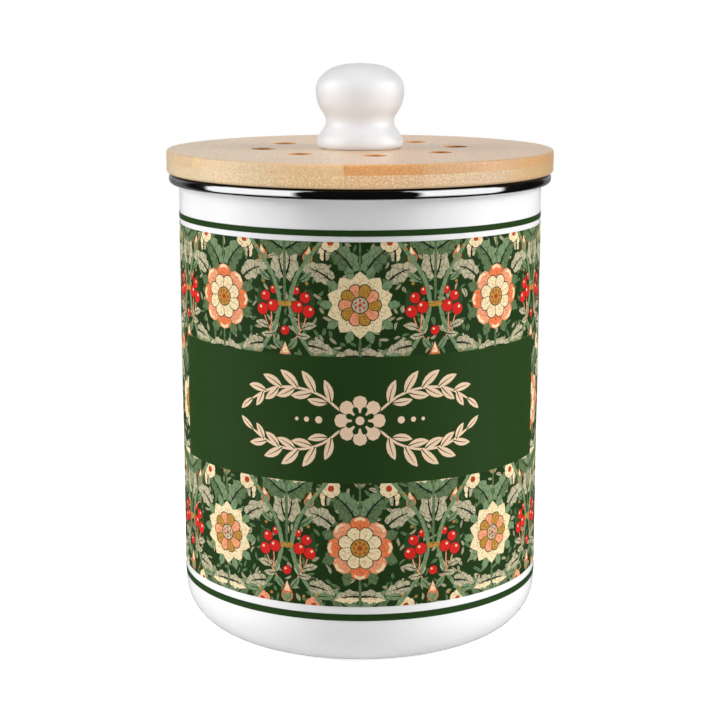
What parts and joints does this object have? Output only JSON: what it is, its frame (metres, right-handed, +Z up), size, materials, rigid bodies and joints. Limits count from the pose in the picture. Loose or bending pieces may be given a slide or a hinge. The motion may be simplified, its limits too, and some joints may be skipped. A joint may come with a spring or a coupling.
{
  "type": "compost caddy",
  "caption": "Round countertop compost caddy: enamelled steel can with a printed band and polished rim, vented bamboo plug lid with a turned white knob and carbon filter.",
  "frame": {"origin": "centre of the base, on the plane it stands on", "axes": "+Z up along the can's axis; -Y towards the viewer, with the plain panel of the printed band centred on -Y; +X to the viewer's right"},
  "size_m": [0.165, 0.165, 0.2433],
  "materials": {
    "enamel": "glossy white vitreous enamel on steel sheet",
    "polished_steel": "mirror-polished stainless steel",
    "print_stripe": "fired dark green print, glossy",
    "print": "fired botanical print on dark green, glossy",
    "bamboo_upper": "fine-sanded and oiled laminated bamboo",
    "bamboo_lower": "fine-sanded and oiled laminated bamboo, cross ply",
    "bamboo_plug": "turned and oiled bamboo",
    "silicone": "translucent white silicone",
    "knob_glaze": "glossy white glaze",
    "brass": "turned",
    "steel_hardware": "zinc-plated",
    "filter_plastic": "fine-textured moulded plastic",
    "carbon": "carbon-loaded filter felt"
  },
  "bodies": {
    "can": {"body_shell": "enamel", "rim_band": "polished_steel", "upper_stripe": "print_stripe", "print_band": "print", "lower_stripe": "print_stripe"},
    "lid": {"lid_upper_ply": "bamboo_upper", "lid_lower_ply": "bamboo_lower", "plug_ring": "bamboo_plug", "seal_ring": "silicone", "knob": "knob_glaze", "knob_insert": "brass", "knob_screw": "steel_hardware", "knob_washer": "steel_hardware", "filter_socket": "filter_plastic", "socket_screws": "steel_hardware"},
    "filter": {"filter_cup": "filter_plastic", "carbon_filter": "carbon"}
  },
  "joints": [
    {"name": "lid_lift", "type": "slide", "parent": "can", "child": "lid", "axis": [0, 0, 1], "range_m": [0, 0.1]},
    {"name": "filter_cup_pull", "type": "slide", "parent": "lid", "child": "filter", "axis": [0, 0, -1], "range_m": [0, 0.03]}
  ]
}
